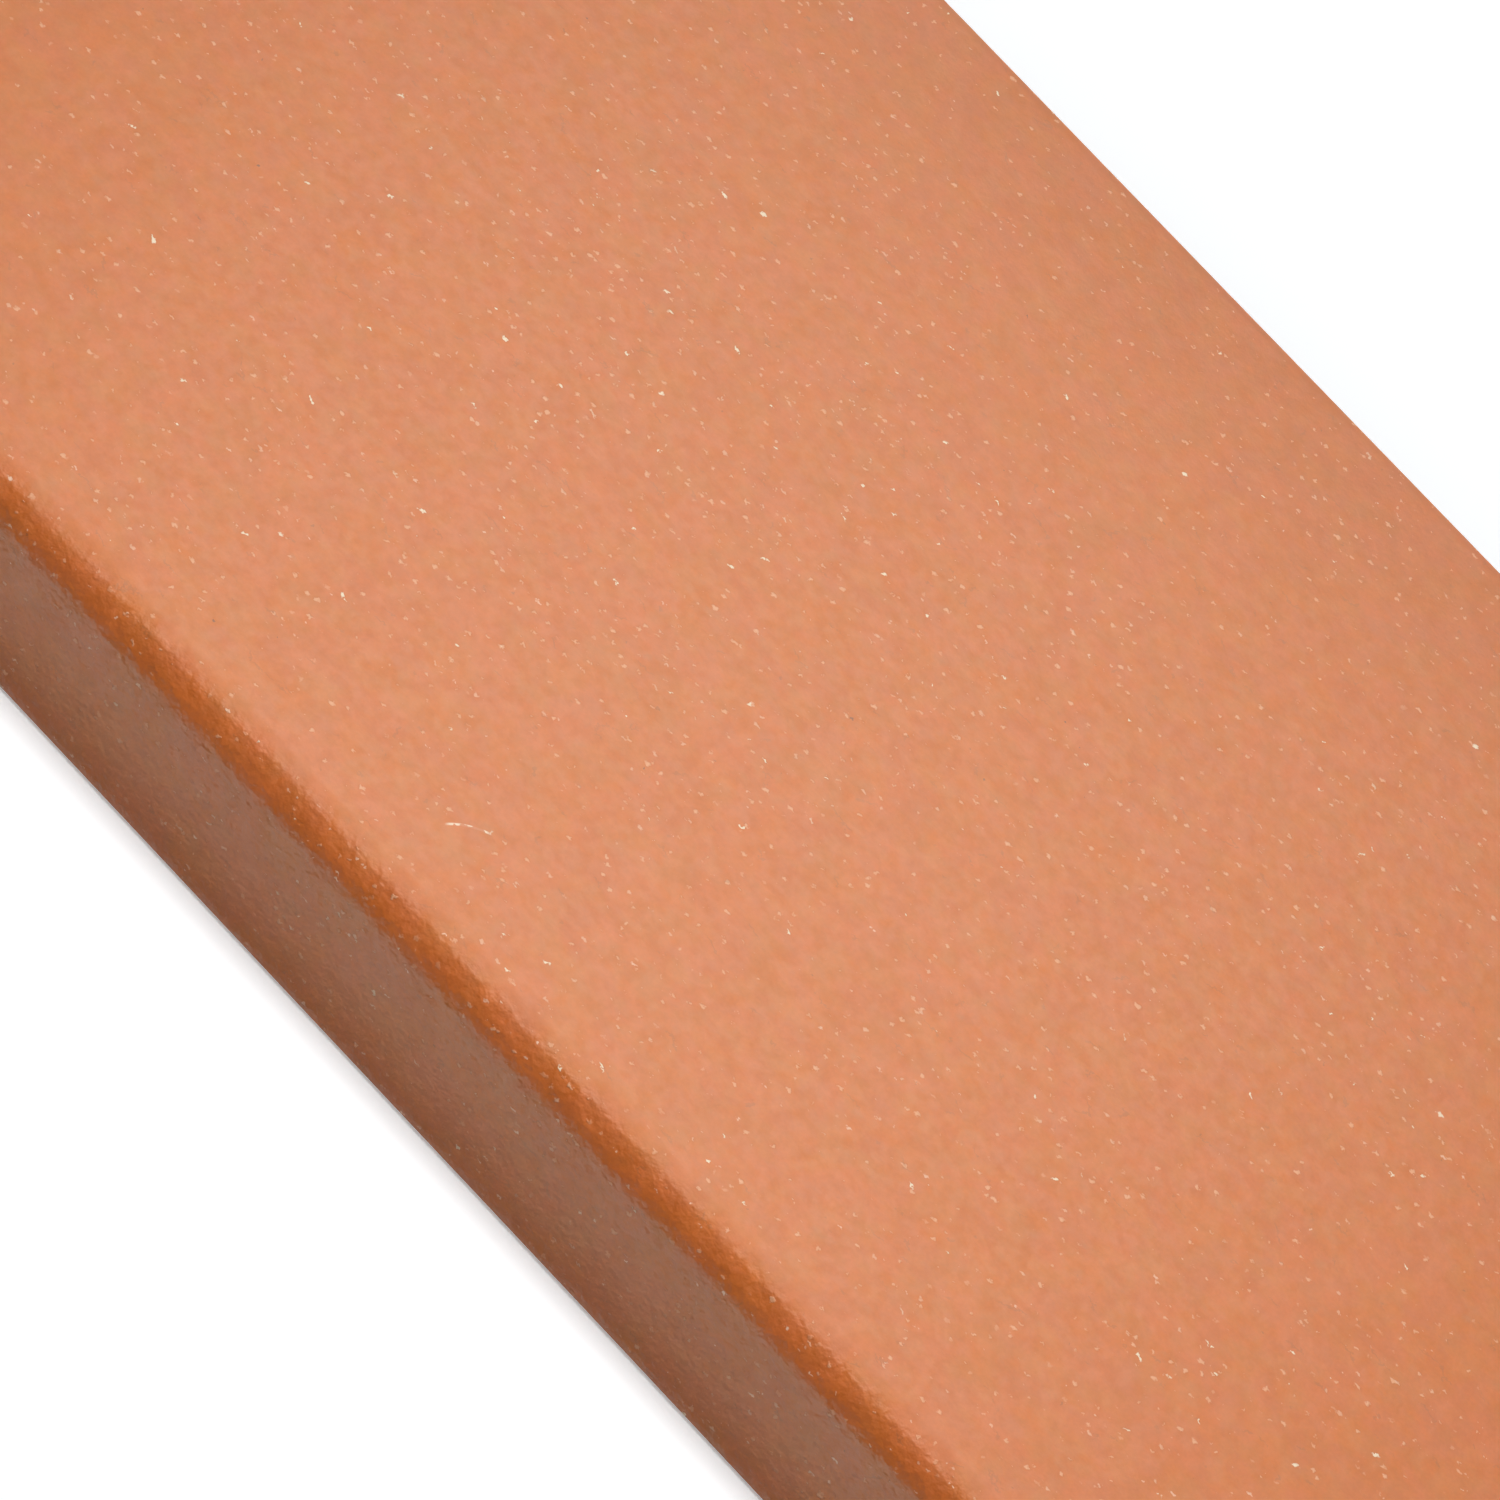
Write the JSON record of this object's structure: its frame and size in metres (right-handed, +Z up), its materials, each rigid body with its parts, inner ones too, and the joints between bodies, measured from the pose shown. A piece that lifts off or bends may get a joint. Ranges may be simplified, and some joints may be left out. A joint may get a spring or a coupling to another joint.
{
  "type": "clay stair tread tile",
  "caption": "Solid fired clay slab for the front of a stair step, with one long top edge rounded into a nose and a flat bedding face.",
  "frame": {"origin": "centre of the flat bedding face, which lies on the floor", "axes": "+X along the step, the tile's length; -Y towards the rounded nose; +Z up, out of the walking face"},
  "size_m": [0.3, 0.15, 0.02],
  "materials": {
    "fired_clay": "unglazed fired clay, orange-pink with fine pale flecks, smooth to the touch with a faint sheen"
  },
  "bodies": {
    "root": {"stair_tread": "fired_clay"}
  },
  "joints": []
}
